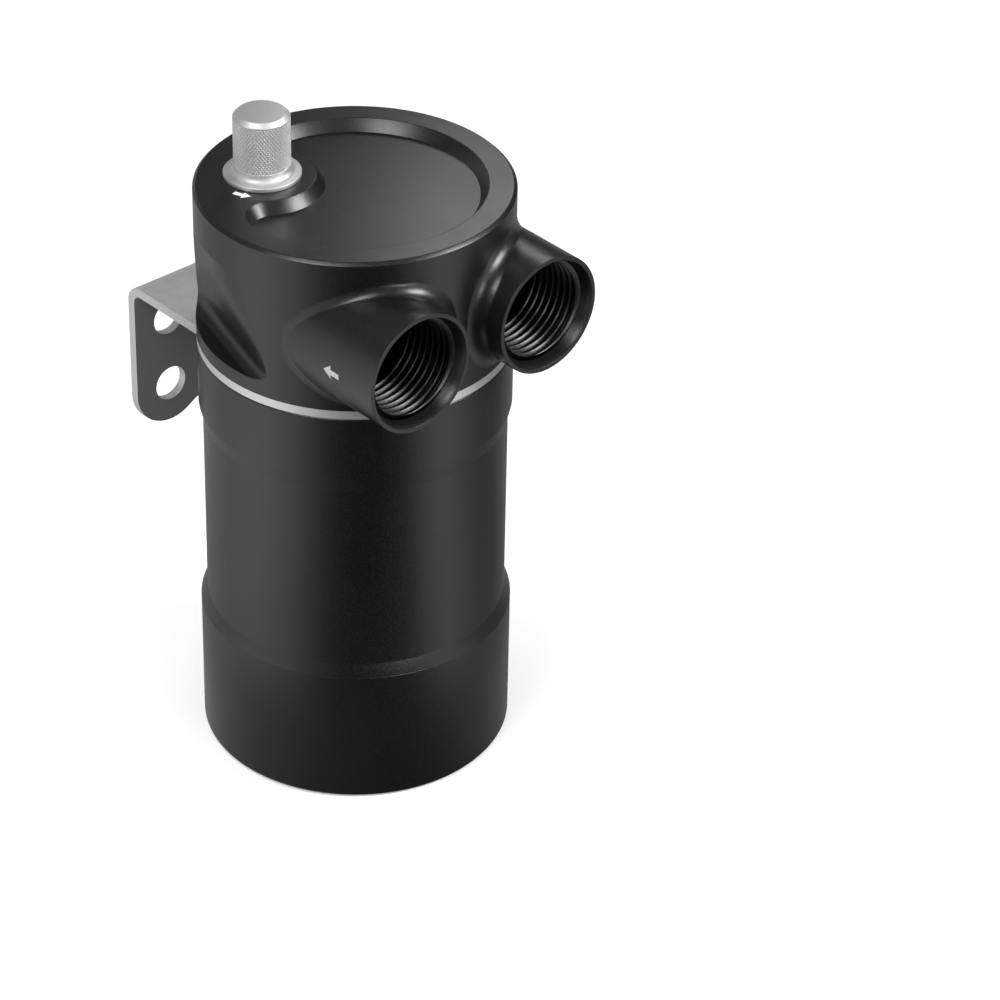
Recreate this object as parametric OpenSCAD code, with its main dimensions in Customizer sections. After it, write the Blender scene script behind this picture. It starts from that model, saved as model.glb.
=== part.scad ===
// Oil catch can: a turned canister with a screwed-on head, two threaded breather ports,
// a knurled dipstick, a clamped mounting bracket and a honeycomb baffle.
// The origin is the centre of the canister's base, +Z is up, the ports face -Y
// and the bracket reaches out to +Y. Sizes are in millimetres.

/* [Canister] */
// Height of the canister's rim above its base
can_h = 116; // [100:1:160]
// How far the plain middle wall stands in from the head's edge
waist_step = 1.15; // [0.6:0.05:1.8]
// Thickness of the middle wall
can_wall = 2.45; // [1.8:0.05:2.6]
// How far the thick lower section stands out from the middle wall
base_step = 1.65; // [0.75:0.05:5]
// Height of the thick lower section
base_h = 38.3; // [20:0.1:50]
// Height of the slope between lower section and middle wall
base_slope_h = 3.2; // [1:0.1:8]
// Height of the upper band
band_h = 17.4; // [12:0.1:30]
// Height of the slope below the upper band
band_slope_h = 4.4; // [1:0.1:10]
// Thickness of the canister's floor
floor_t = 4; // [3:0.5:8]
// Radius where the inner wall meets the floor
floor_fillet = 4; // [1:0.5:8]
// Rounding of the base's outer edge
base_edge_r = 1.5; // [0.5:0.1:3]
// Chamfer on the outer edge of the rim
rim_chamfer = 0.5; // [0.2:0.1:1]

/* [Joint thread] */
// How far the crests of the head's spigot thread stand in from the canister's bore
thread_inset = 0.8; // [0.7:0.05:1.2]
// Pitch of the thread between head and canister
thread_pitch = 2; // [1:0.25:2.5]
// Depth of that thread
thread_depth = 0.9; // [0.4:0.05:1]
// Number of ridges on the spigot
thread_ridges = 5; // [3:1:6]
// Radial clearance between the two threads
thread_gap = 0.3; // [0.2:0.05:0.4]
// Length of the spigot below the head's seat
spigot_len = 20.8; // [19:0.1:30]
// Length of the plain end of the spigot
spigot_end_h = 3.8; // [2:0.1:5]

/* [Seals] */
// Thickness of the canister's O-ring
seal_d = 2; // [1.5:0.1:2.2]
// Thickness of the dipstick's O-ring
dip_seal_d = 1.8; // [1.2:0.1:2.4]
// Clearance round each O-ring
seal_gap = 0.3; // [0.2:0.05:0.4]

/* [Head] */
// Radius of the head
head_r = 40; // [39.5:0.1:42]
// How far the bracket and the canister's band stand back from the head's edge
edge_step = 0.1; // [0:0.05:0.5]
// Height of the head above the bracket
head_h = 41.5; // [40:0.5:60]
// Chamfer on the lid's outer edge
head_chamfer = 0.8; // [0.3:0.1:2]
// Thickness of the wall round the two chambers inside the head
chamber_wall = 10; // [9:0.5:12]
// Thickness of the spigot's wall at its plain end
spigot_wall = 2.4; // [2.2:0.1:3.6]
// Height of the wider opening inside the spigot
mouth_h = 11; // [6:0.5:14]
// Width of the web between the two chambers
web_w = 10.2; // [9.6:0.1:14]
// Thickness of the lid between recess and chambers
lid_t = 6; // [3:0.5:8]

/* [Lid recess] */
// Width of the rim round the recess
rim_w = 7; // [5:0.1:9]
// Depth of the recess
recess_depth = 3; // [1:0.1:5]
// How far the recess wall slopes in
recess_slope = 2.1; // [0.5:0.1:3]
// Radius of the raised boss round the dipstick
boss_r = 13.4; // [12:0.1:15]
// Radius of the corners between boss and rim
recess_corner_r = 7.3; // [5:0.1:9]

/* [Ports] */
// How far the ports' outer sides stand in from the head's side
port_side = 3.55; // [2.8:0.05:6]
// Height of the port axes above the bracket
port_up = 17.3; // [16.8:0.1:19]
// How far the port faces stand out from the head's round wall
port_out = 8.5; // [6:0.5:18]
// Outer radius of a port
port_r = 15.7; // [15.2:0.1:16.4]
// Radius of the seal seat at the port's mouth
port_mouth_r = 14.58; // [14:0.02:14.9]
// Depth of the whole bore behind the port's face
port_depth = 29; // [26:0.5:32]
// Depth of the seal seat
port_seat_depth = 3; // [2:0.1:4]
// Major radius of the port thread
port_major_r = 13.5; // [13:0.05:13.8]
// Minor radius of the port thread
port_minor_r = 12.35; // [12:0.05:12.7]
// Pitch of the port thread
port_pitch = 2.117; // [1.5:0.001:2.2]
// Number of turns of the port thread
port_turns = 8; // [5:1:9]
// Radius of the blend between the ports and the head, on the side where the ports meet
blend_r = 6; // [3:0.1:7]

/* [Side scallops] */
// Height of the scallop's ledge above the bracket
scallop_up = 3.8; // [3:0.1:8]
// Height of the scallop above its ledge
scallop_h = 28; // [20:0.1:32]
// Depth of the scallop's floor at the ledge
scallop_depth = 6.9; // [4:0.1:7]
// How far the floor leans outward over the scallop's height
scallop_rise = 4.4; // [0:0.1:5]
// Rounding where the scallop's floor meets its ledge
scallop_fillet = 3; // [1:0.1:4]
// Rounding at the scallop's upper end
scallop_top_r = 5; // [2:0.1:6]
// Angle of each scallop behind the head's side
scallop_angle = 16; // [8:1:30]

/* [Dipstick] */
// Distance of the dipstick from the head's edge
dip_inset = 16.9; // [16:0.1:18]
// Angle of the dipstick from the +X axis
dip_angle = 130.5; // [120:0.5:140]
// Radius of the knurled knob
knob_r = 7.15; // [6:0.05:8]
// Height of the knob above the lid
knob_h = 17.4; // [12:0.1:25]
// Chamfer on the knob's top edge
knob_chamfer = 1.1; // [0.3:0.1:2]
// Radius of the knob's flange
knob_flange_r = 9.75; // [9:0.05:11]
// Thickness of the knob's flange
knob_flange_t = 1.2; // [0.8:0.1:2]
// Radius of the neck fillet above the flange
knob_fillet = 1.8; // [0.5:0.1:1.8]
// Crest radius of the dipstick's thread
stem_r = 4; // [3.6:0.05:4]
// Pitch of the dipstick's thread
stem_pitch = 1.25; // [0.75:0.25:1.5]
// Depth of the dipstick's thread
stem_depth = 0.6; // [0.3:0.05:0.6]
// Length of the threaded stem below the lid
stem_len = 10.5; // [8:0.5:12]
// Radial clearance between stem and lid
stem_gap = 0.3; // [0.2:0.05:0.4]
// Radius of the dipstick's rod
rod_r = 3.5; // [2.5:0.1:3.5]
// Height of the rod's tip above the canister's base
rod_tip_z = 9.5; // [8:0.5:40]
// Radius of the pin that joins rod and stem
tenon_r = 2.3; // [1.5:0.1:2.4]
// Length of that pin
tenon_len = 5; // [3:0.5:8]
// Radial clearance of that pin
tenon_gap = 0.05; // [0.02:0.01:0.1]

/* [Bracket] */
// Thickness of the bracket's sheet
sheet_t = 2.5; // [2:0.1:3]
// Radial clearance between bracket and spigot
bracket_gap = 0.4; // [0.3:0.05:0.8]
// Width of the bracket
bracket_w = 61; // [56:0.5:70]
// Distance from the head's axis to the bracket's mounting face
bracket_reach = 54; // [50:0.5:70]
// Outer radius of the bend
bend_r = 5; // [4:0.5:8]
// Depth of the lower hole row below the bracket's top face
low_hole_drop = 33.6; // [30:0.1:50]
// Distance between the hole rows
hole_rise = 20; // [16:0.5:21]
// Distance between the holes of a row
hole_span = 39; // [36:0.5:39]
// Diameter of the mounting holes
hole_d = 9.4; // [6:0.1:10]
// Depth of the dip between the lobes
dip_h = 5.8; // [3:0.1:8]

/* [Baffle] */
// How far the baffle plate's edge stands in from the spigot's
plate_step = 0.1; // [0:0.05:0.9]
// Thickness of the baffle plate
plate_t = 1.5; // [1:0.1:2]
// How far the honeycomb field stays inside the spigot's bore
field_step = 0.2; // [0:0.1:2]
// Distance between honeycomb rows
cell_pitch = 8.6; // [7:0.1:11]
// Thickness of the honeycomb ribs
rib_t = 0.9; // [0.7:0.1:1.5]
// Inner radius of the ring round the rod
ring_r = 6.8; // [5:0.1:7]
// Width of that ring
ring_w = 1; // [0.8:0.1:1.5]
// Distance of each screw from the plate's centre
screw_y = 12.7; // [9:0.1:20]
// Radius of the screws' shank
screw_r = 2.4; // [1.8:0.1:2.5]
// Length of the screws' shank above the plate
screw_len = 10; // [5:0.5:11]
// Radius of the screws' round heads
screw_head_r = 4.6; // [4:0.1:4.7]
// Height of the screws' round heads
screw_head_h = 2.6; // [2:0.1:3]
// Size across the flats of the screws' sockets
socket_af = 3; // [2:0.1:3.5]
// Depth of the screws' sockets
socket_depth = 1.6; // [1:0.1:1.8]
// Radial clearance of the screws
screw_gap = 0.1; // [0.05:0.05:0.2]

/* [Mesh screen] */
// Thickness of the woven screen
mesh_t = 0.8; // [0.6:0.1:1.2]
// Thickness of the spigot's lip round the screen
screen_lip = 1.2; // [1:0.1:1.8]
// Clearance round the screen
mesh_gap = 0.2; // [0.1:0.05:0.4]
// Distance between the screen's gaps
mesh_pitch = 4; // [3.8:0.1:6]
// Width of each gap
mesh_hole = 1.7; // [1:0.1:2]
// Width of the screen's wires
wire_w = 0.9; // [0.5:0.1:1.1]

/* [Hidden] */
$fn = 96;
eps = 0.01;
// How far cutting tools run past what they cut
over = 1;
// How deep the port blends are sunk into the surfaces that they join
sink = 0.12;
// Width of the ring along the recess's wall
edge_lap = 1;
recess_steps = 90;
corner_steps = 16;
boss_steps = 24;
blend_steps = 48;
blend_rings = 6;
sharpness = 4;
// Clearance between a port blend and the seat or the lid's edge
blend_margin = 0.3;
// Clearance between a port blend and the head's side
blend_side = 2.1;
// Distance from the head's axis to the inner end of a port's outer wall
port_root = 12;
// How far the spigot's plain end stands in from the root of its thread
root_relief = 0.1;

band_r = head_r - edge_step;
dip_dist = head_r - dip_inset;
port_reach = head_r + port_out;
waist_r = head_r - waist_step;
base_r = waist_r + base_step;
bore_r = waist_r - can_wall;
spigot_r = bore_r - thread_inset;
spigot_end_r = spigot_r - thread_depth - root_relief;
mouth_r = spigot_end_r - spigot_wall;
chamber_r = head_r - chamber_wall;
plate_r = spigot_end_r - plate_step;
field_r = mouth_r - field_step;
mesh_r = spigot_end_r - screen_lip - mesh_gap;
seat_z = can_h + sheet_t;
top_z = seat_z + head_h;
spigot_end_z = seat_z - spigot_len;
thread_z0 = spigot_end_z + spigot_end_h;
recess_z = top_z - recess_depth;
recess_r = head_r - rim_w;
chamber_top_z = recess_z - lid_t;
port_z = seat_z + port_up;
port_x = head_r - port_side - port_r;
dip_x = dip_dist * cos(dip_angle);
dip_y = dip_dist * sin(dip_angle);
stem_end_z = top_z - stem_len;
seal_r = spigot_r + seal_gap + seal_d / 2;
seal_z = can_h - seal_gap - seal_d / 2;
dip_seal_r = stem_r + seal_gap + dip_seal_d / 2;
dip_seal_z = top_z - seal_gap - dip_seal_d / 2;
plate_z = spigot_end_z - plate_t;
lobe_x = hole_span / 2;
lobe_r = bracket_w / 2 - lobe_x;

// Sawtooth profile of a thread's ridges, as points from the first ridge to the last
function ridges(count, pitch, crest, root) =
    [for (i = [0 : count - 1], p = [[0, 0], [0.3, 1], [0.55, 1], [0.85, 0]])
        [root + (crest - root) * p[1], (i + p[0]) * pitch]];

// Direction of an angle in the base plane
function heading(a) = [cos(a), sin(a)];

// Points of an arc from one angle to another, without its last point
function arc(centre, r, from, to, count) =
    [for (i = [0 : count - 1]) centre + r * heading(from + (to - from) * i / count)];

// Where the head's round wall lies at a given x
function wall_y(x) = -sqrt(max(head_r * head_r - x * x, 0));

// Smooth minimum of a list of radii
function soft_min(list) = pow([for (v = list) pow(v, -sharpness)] * [for (v = list) 1], -1 / sharpness);

// Room for the blend from the port's wall out to a straight limit
function room(limit, share) = share > 0.05 ? limit / share - port_r : 100;

// Radius of the blend at an angle round the port; 0 degrees points to the other port
function blend_at(a) = soft_min([
    blend_r * (0.65 + 0.35 * cos(a)),
    room(port_x, cos(a)),
    room(head_r - blend_side - port_x, -cos(a)),
    room(head_h - port_up - head_chamfer - blend_margin, sin(a)),
    room(port_up - blend_margin, -sin(a))]);

// One point of the blend, at an angle round the port and a turn from wall to port
function blend_point(a, t) =
    let (
        f = blend_at(a),
        r = port_r + f * (1 - sin(t)) - sink,
        x = port_x - r * cos(a))
    [x, wall_y(x) - f * (1 - cos(t)) + sink, port_z + r * sin(a)];

// One inner point of the blend's ring, under the port's wall or the head's wall
function blend_core(a, r, depth) =
    let (x = port_x - r * cos(a))
    [x, wall_y(x) + depth, port_z + r * sin(a)];

// The section of the blend's ring at one angle
function blend_section(a) = concat(
    [for (i = [0 : blend_rings]) blend_point(a, 90 * i / blend_rings)],
    [blend_core(a, port_r - over, -blend_at(a) + sink),
    blend_core(a, port_r - over, over),
    blend_core(a, port_r + blend_at(a) - sink, over)]);

// A ring of round section
module torus(ring, thick) {
    rotate_extrude()
        translate([ring, 0])
            circle(d = thick);
}

// A square corner that is left over outside a quarter circle
module corner_waste(r) {
    difference() {
        translate([-over, -over])
            square(r + over);
        translate([r, r])
            circle(r = r);
    }
}

module canister_outline() {
    difference() {
        union() {
            square([base_r, base_h]);
            square([waist_r, can_h]);
            translate([0, base_h])
                polygon([[0, 0], [base_r, 0], [waist_r, base_slope_h], [0, base_slope_h]]);
            translate([0, can_h - band_h])
                polygon([[0, -band_slope_h], [waist_r, -band_slope_h], [band_r, 0],
                    [band_r, band_h - rim_chamfer], [band_r - rim_chamfer, band_h], [0, band_h]]);
        }
        translate([base_r, 0])
            mirror([1, 0])
                corner_waste(base_edge_r);
    }
}

module canister_hollow() {
    mouth_z = seal_z - seal_d / 2 - seal_gap;
    crest = spigot_r + thread_gap;
    translate([0, floor_t])
        difference() {
            square([bore_r, thread_z0 - floor_t - thread_pitch]);
            translate([bore_r, 0])
                mirror([1, 0])
                    corner_waste(floor_fillet);
        }
    translate([0, thread_z0 - thread_pitch - eps])
        square([crest, can_h]);
    polygon(concat([[0, thread_z0]],
        [for (p = ridges(thread_ridges, thread_pitch, crest + thread_depth, crest - eps))
            p + [0, thread_z0]],
        [[0, thread_z0 + thread_ridges * thread_pitch]]));
    translate([0, mouth_z])
        square([seal_r + seal_d / 2 + seal_gap, can_h]);
}

module canister() {
    color([0.03, 0.03, 0.032])
        rotate_extrude()
            difference() {
                canister_outline();
                canister_hollow();
            }
}

module canister_seal() {
    color([0.01, 0.01, 0.01])
        translate([0, 0, seal_z])
            torus(seal_r, seal_d);
}

// The flange's outline: two round lobes with a dip between them
module flange_outline() {
    rise = lobe_r - dip_h;
    dip_r = (lobe_x * lobe_x + rise * rise - lobe_r * lobe_r) / (2 * (lobe_r - rise));
    for (side = [-1, 1])
        translate([side * lobe_x, 0])
            circle(r = lobe_r);
    translate([-bracket_w / 2, 0])
        square([bracket_w, low_hole_drop - bend_r]);
    difference() {
        polygon([[-lobe_x, 0], [lobe_x, 0], [0, -rise - dip_r]]);
        translate([0, -rise - dip_r])
            circle(r = dip_r);
    }
}

module bracket_flange() {
    difference() {
        translate([0, bracket_reach, seat_z - low_hole_drop])
            rotate([90, 0, 0])
                linear_extrude(sheet_t)
                    flange_outline();
        for (side = [-1, 1], row = [0, 1])
            translate([side * lobe_x, bracket_reach + over, seat_z - low_hole_drop + row * hole_rise])
                rotate([90, 0, 0])
                    cylinder(d = hole_d, h = sheet_t + 2 * over);
    }
}

module bracket_bend() {
    translate([-bracket_w / 2, bracket_reach - bend_r, seat_z - bend_r])
        rotate([90, 0, 90])
            intersection() {
                difference() {
                    cylinder(r = bend_r, h = bracket_w);
                    translate([0, 0, -over])
                        cylinder(r = bend_r - sheet_t, h = bracket_w + 2 * over);
                }
                cube([bend_r + over, bend_r + over, bracket_w]);
            }
}

module bracket_ring() {
    translate([0, 0, can_h])
        linear_extrude(sheet_t)
            difference() {
                union() {
                    circle(r = band_r);
                    translate([-bracket_w / 2, 0])
                        square([bracket_w, bracket_reach - bend_r]);
                }
                circle(r = spigot_r + bracket_gap);
            }
}

module bracket() {
    color([0.72, 0.72, 0.73]) {
        bracket_ring();
        bracket_bend();
        bracket_flange();
    }
}

// The recess's outline, widened by a step: the rim, the boss and a rounded corner each side
function recess_outline(grow) =
    let (
        corner_dist = recess_r - recess_corner_r,
        reach = boss_r + recess_corner_r,
        swing = acos((corner_dist * corner_dist + dip_dist * dip_dist - reach * reach)
            / (2 * corner_dist * dip_dist)),
        turn = acos((reach * reach + corner_dist * corner_dist - dip_dist * dip_dist)
            / (2 * reach * corner_dist)),
        first = dip_angle + swing,
        last = dip_angle + 360 - swing)
    concat(
        arc([0, 0], recess_r + grow, first, last, recess_steps),
        arc(corner_dist * heading(last), recess_corner_r + grow, last, last + 180 - turn, corner_steps),
        arc([dip_x, dip_y], boss_r - grow, last - 360 - turn, first - 360 + turn, boss_steps),
        arc(corner_dist * heading(first), recess_corner_r + grow, first - 180 + turn, first, corner_steps));

// The ring that the lid's recess removes along its sloping wall
module recess_edge() {
    high_z = recess_depth + over;
    wall_top = recess_slope * over / recess_depth;
    rings = [[-recess_slope, 0], [wall_top, high_z],
        [-recess_slope - edge_lap, high_z], [-recess_slope - edge_lap, 0]];
    outlines = [for (ring = rings) [for (p = recess_outline(ring[0])) [p[0], p[1], ring[1]]]];
    count = len(outlines[0]);
    polyhedron(
        points = [for (outline = outlines, p = outline) p],
        faces = [for (m = [0 : 3], i = [0 : count - 1])
            let (n = (m + 1) % 4, k = (i + 1) % count)
            [m * count + i, n * count + i, n * count + k, m * count + k]]);
}

// The solid that the lid's recess removes
module recess() {
    translate([0, 0, recess_z]) {
        recess_edge();
        linear_extrude(recess_depth + over)
            polygon(recess_outline(-recess_slope - edge_lap / 2));
    }
}

// A port's outer wall with its blend into the head, on the +X side
module port_body() {
    sections = [for (i = [0 : blend_steps - 1]) blend_section(360 * i / blend_steps)];
    size = len(sections[0]);
    translate([port_x, -port_reach, port_z])
        rotate([-90, 0, 0])
            cylinder(r = port_r, h = port_reach - port_root);
    polyhedron(
        points = [for (s = sections, p = s) p],
        faces = [for (i = [0 : blend_steps - 1], j = [0 : size - 1])
            let (k = (i + 1) % blend_steps, m = (j + 1) % size)
            [i * size + j, k * size + j, k * size + m, i * size + m]]);
}

// A port's bore: the seal seat, the thread and the way into the chamber
module port_bore() {
    thread_len = port_turns * port_pitch;
    translate([port_x, -port_reach, port_z])
        rotate([-90, 0, 0]) {
            rotate_extrude()
                polygon(concat(
                    [[0, -over], [port_mouth_r, -over], [port_mouth_r, 0], [port_major_r, port_seat_depth]],
                    [for (p = ridges(port_turns, port_pitch, port_major_r, port_minor_r))
                        p + [0, port_seat_depth]],
                    [[port_minor_r, port_seat_depth + thread_len], [0, port_seat_depth + thread_len]]));
            translate([0, 0, port_seat_depth + thread_len - eps])
                cylinder(r = port_minor_r, h = port_depth - port_seat_depth - thread_len);
        }
}

// The scallop's upright section: a leaning floor with a rounded corner below and above
module scallop_outline() {
    lean = atan(scallop_rise / scallop_h);
    low = [(scallop_fillet + scallop_fillet * sin(lean)) / cos(lean), scallop_fillet];
    high_z = scallop_h - scallop_top_r;
    high = [(scallop_top_r + high_z * sin(lean)) / cos(lean), high_z];
    inward = [-cos(lean), sin(lean)];
    reach = 3 * scallop_depth;
    polygon([[low[0], 0], [reach, 0], [reach, scallop_h], [high[0], scallop_h], high,
        high + scallop_top_r * inward, low + scallop_fillet * inward, low]);
    translate(low)
        circle(r = scallop_fillet);
    translate(high)
        circle(r = scallop_top_r);
}

// A scallop milled into the head's side, open to the side only
module scallop() {
    rotate([0, 0, scallop_angle])
        translate([head_r - scallop_depth, head_r, seat_z + scallop_up])
            rotate([90, 0, 0])
                linear_extrude(2 * head_r)
                    scallop_outline();
}

// One of the two chambers, on the +X side
module chamber() {
    intersection() {
        union() {
            translate([0, 0, spigot_end_z - over])
                cylinder(r = chamber_r, h = chamber_top_z - spigot_end_z + over);
            translate([0, 0, spigot_end_z - over])
                cylinder(r = mouth_r, h = mouth_h + over);
        }
        translate([web_w / 2, -head_r, spigot_end_z - over])
            cube([head_r, 2 * head_r, top_z]);
    }
}

module head_blank() {
    rotate_extrude()
        polygon(concat(
            [[0, spigot_end_z], [spigot_end_r, spigot_end_z]],
            [for (p = ridges(thread_ridges, thread_pitch, spigot_r, spigot_end_r)) p + [0, thread_z0]],
            [[spigot_end_r, thread_z0 + thread_ridges * thread_pitch], [spigot_r, seat_z - sheet_t],
            [spigot_r, seat_z], [head_r, seat_z], [head_r, top_z - head_chamfer],
            [head_r - head_chamfer, top_z], [0, top_z]]));
    for (side = [0, 1])
        mirror([side, 0, 0])
            port_body();
}

// The dipstick's threaded hole with the room for its O-ring
module dipstick_hole() {
    crest = stem_r + stem_gap;
    turns = floor((dip_seal_z - dip_seal_d / 2 - seal_gap - chamber_top_z) / stem_pitch);
    translate([dip_x, dip_y, chamber_top_z])
        rotate_extrude()
            union() {
                translate([0, -over])
                    square([crest, top_z]);
                polygon(concat([[0, 0]],
                    [for (p = ridges(turns, stem_pitch, crest - eps, crest + stem_depth)) p],
                    [[0, turns * stem_pitch]]));
                translate([0, dip_seal_z - dip_seal_d / 2 - seal_gap - chamber_top_z])
                    square([dip_seal_r + dip_seal_d / 2 + seal_gap, top_z]);
            }
}

module head_cuts() {
    recess();
    for (side = [0, 1])
        mirror([side, 0, 0]) {
            port_bore();
            scallop();
            chamber();
        }
    dipstick_hole();
    for (side = [-1, 1])
        translate([0, side * screw_y, spigot_end_z - over])
            cylinder(r = screw_r + screw_gap, h = screw_len + 2 * over);
    intersection() {
        translate([0, 0, spigot_end_z - over])
            cylinder(r = mesh_r + mesh_gap, h = mesh_t + over);
        translate([web_w / 2, -head_r, spigot_end_z - over])
            cube([head_r, 2 * head_r, mesh_t + over]);
    }
}

module head() {
    color([0.03, 0.03, 0.032])
        difference() {
            head_blank();
            head_cuts();
        }
}

// The honeycomb cells on both sides of the plate's middle strip
module honeycomb() {
    column_step = cell_pitch * sqrt(3) / 2;
    columns = ceil(field_r / column_step);
    rows = ceil(field_r / cell_pitch);
    cell_r = (cell_pitch - rib_t) / sqrt(3);
    intersection() {
        circle(r = field_r);
        difference() {
            square(2 * plate_r, center = true);
            square([web_w, 2 * plate_r], center = true);
        }
        for (i = [-columns : columns], j = [-rows : rows]) {
            spot = [i * column_step, (j + (i % 2 == 0 ? 0.5 : 0)) * cell_pitch];
            if (norm(spot) < field_r + cell_r / 2)
                translate(spot)
                    circle(r = cell_r, $fn = 6);
        }
    }
}

module baffle_plate() {
    color([0.7, 0.7, 0.71])
        translate([0, 0, plate_z])
            linear_extrude(plate_t)
                difference() {
                    union() {
                        difference() {
                            circle(r = plate_r);
                            honeycomb();
                        }
                        translate([dip_x, dip_y])
                            circle(r = ring_r + ring_w);
                    }
                    translate([dip_x, dip_y])
                        circle(r = ring_r);
                    for (side = [-1, 1])
                        translate([0, side * screw_y])
                            circle(r = screw_r + screw_gap);
                }
}

// The half-round outline of the woven screen
module screen_outline() {
    intersection() {
        circle(r = mesh_r);
        translate([web_w / 2 + mesh_gap, -mesh_r])
            square([mesh_r, 2 * mesh_r]);
    }
}

// The woven screen: crossed wires on a thin web with a gap in each mesh
module mesh_screen() {
    wires = ceil(mesh_r / mesh_pitch);
    start = web_w / 2 + mesh_gap + mesh_pitch / 2;
    color([0.6, 0.6, 0.61])
        translate([0, 0, spigot_end_z]) {
            translate([0, 0, mesh_t / 4])
                linear_extrude(mesh_t / 2)
                    difference() {
                        screen_outline();
                        for (i = [0 : wires - 1], j = [-wires : wires]) {
                            spot = [start + i * mesh_pitch, j * mesh_pitch];
                            if (norm(spot) + mesh_hole < mesh_r)
                                translate(spot)
                                    square(mesh_hole, center = true);
                        }
                    }
            linear_extrude(mesh_t / 2)
                intersection() {
                    screen_outline();
                    for (i = [1 : wires])
                        translate([start + (i - 0.5) * mesh_pitch, 0])
                            square([wire_w, 2 * mesh_r], center = true);
                }
            translate([0, 0, mesh_t / 2])
                linear_extrude(mesh_t / 2)
                    intersection() {
                        screen_outline();
                        for (j = [-wires : wires])
                            translate([0, (j + 0.5) * mesh_pitch])
                                square([2 * mesh_r, wire_w], center = true);
                    }
        }
}

// A round-headed socket screw, its head below the plate
module baffle_screw(side) {
    dome_r = (screw_head_r * screw_head_r + screw_head_h * screw_head_h) / (2 * screw_head_h);
    color([0.75, 0.75, 0.76])
        translate([0, side * screw_y, plate_z])
            difference() {
                union() {
                    cylinder(r = screw_r, h = plate_t + screw_len);
                    rotate_extrude()
                        intersection() {
                            translate([0, dome_r - screw_head_h])
                                circle(r = dome_r);
                            translate([0, -screw_head_h])
                                square([screw_head_r, screw_head_h]);
                        }
                }
                translate([0, 0, -screw_head_h - over])
                    cylinder(d = socket_af / cos(30), h = socket_depth + over, $fn = 6);
            }
}

module dipstick_seal() {
    color([0.01, 0.01, 0.01])
        translate([dip_x, dip_y, dip_seal_z])
            torus(dip_seal_r, dip_seal_d);
}

module dipstick_rod() {
    tip = rod_r / 4;
    color([0.04, 0.04, 0.04])
        translate([dip_x, dip_y, 0])
            rotate_extrude()
                polygon([[0, rod_tip_z], [rod_r - tip, rod_tip_z], [rod_r, rod_tip_z + tip],
                    [rod_r, stem_end_z], [tenon_r, stem_end_z], [tenon_r, stem_end_z + tenon_len],
                    [0, stem_end_z + tenon_len]]);
}

module dipstick_knob() {
    flange_z = top_z + knob_flange_t;
    knob_z = top_z + knob_h;
    turns = floor((stem_len - dip_seal_d - 2 * seal_gap) / stem_pitch) - 1;
    color([0.8, 0.8, 0.81])
        translate([dip_x, dip_y, 0])
            rotate_extrude()
                difference() {
                    union() {
                        translate([0, top_z])
                            square([knob_flange_r, knob_flange_t]);
                        polygon([[0, top_z], [knob_r, top_z], [knob_r, knob_z - knob_chamfer],
                            [knob_r - knob_chamfer, knob_z], [0, knob_z]]);
                        translate([knob_r, flange_z])
                            difference() {
                                translate([-eps, -eps])
                                    square(knob_fillet + eps);
                                translate([knob_fillet, knob_fillet])
                                    circle(r = knob_fillet);
                            }
                        polygon(concat([[0, stem_end_z]],
                            [for (p = ridges(turns, stem_pitch, stem_r, stem_r - stem_depth))
                                p + [0, stem_end_z]],
                            [[stem_r - stem_depth, stem_end_z + turns * stem_pitch],
                            [stem_r, stem_end_z + (turns + 0.5) * stem_pitch], [stem_r, top_z + eps],
                            [0, top_z + eps]]));
                    }
                    translate([-over, stem_end_z - over])
                        square([over + tenon_r + tenon_gap, tenon_len + over + tenon_gap]);
                }
}

canister();
canister_seal();
bracket();
head();
baffle_plate();
mesh_screen();
baffle_screw(-1);  // baffle_screw_front
baffle_screw(1);  // baffle_screw_rear
dipstick_seal();
dipstick_rod();
dipstick_knob();
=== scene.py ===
import math
import bmesh
import bpy
import numpy as np
from mathutils import Matrix, Vector


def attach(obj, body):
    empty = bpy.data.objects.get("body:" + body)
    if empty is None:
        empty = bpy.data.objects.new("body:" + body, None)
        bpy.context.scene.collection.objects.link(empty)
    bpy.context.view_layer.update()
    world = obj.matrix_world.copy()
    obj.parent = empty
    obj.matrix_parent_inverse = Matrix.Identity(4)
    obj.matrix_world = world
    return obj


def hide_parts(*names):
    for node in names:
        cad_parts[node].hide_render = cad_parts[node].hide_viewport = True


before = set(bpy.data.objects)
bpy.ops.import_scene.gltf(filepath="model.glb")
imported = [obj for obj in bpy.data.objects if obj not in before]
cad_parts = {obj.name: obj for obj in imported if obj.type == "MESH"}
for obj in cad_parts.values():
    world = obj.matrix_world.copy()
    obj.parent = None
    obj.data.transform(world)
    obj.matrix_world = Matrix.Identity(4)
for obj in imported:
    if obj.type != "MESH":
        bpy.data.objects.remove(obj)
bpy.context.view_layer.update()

MM = 0.001

# Sizes that the visual pieces share with the construction, in millimetres
TOP_Z = 160.0
HEAD_R = 40.0
PORT_X = 20.75
PORT_Z = 135.8
PORT_R = 15.7
PORT_FACE_Y = -48.5
# The ports' inside thread
PORT_ROOT_R = 13.5
PORT_CREST_R = 12.35
PORT_PITCH = 2.117
PORT_TURNS = 8
THREAD_Y0 = -45.5
THREAD_Y1 = THREAD_Y0 + PORT_PITCH * PORT_TURNS
# The canister
CAN_RIM_Z = 116.0
CAN_BASE_R = 40.5
CAN_BASE_TOP_Z = 38.0
CAN_WAIST_R = 38.85
CAN_WAIST_Z = 41.6
CAN_WAIST_TOP_Z = 94.1
CAN_BAND_R = 39.9
CAN_BAND_Z = 98.7
CAN_LIP_R = 38.2
CAN_BORE_R = 36.4
CAN_FLOOR_T = 4.0
# The canister's inside thread
CAN_CREST_R = 35.9
CAN_ROOT_R = 36.8
CAN_PITCH = 2.0
CAN_RIDGES = 5
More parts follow.
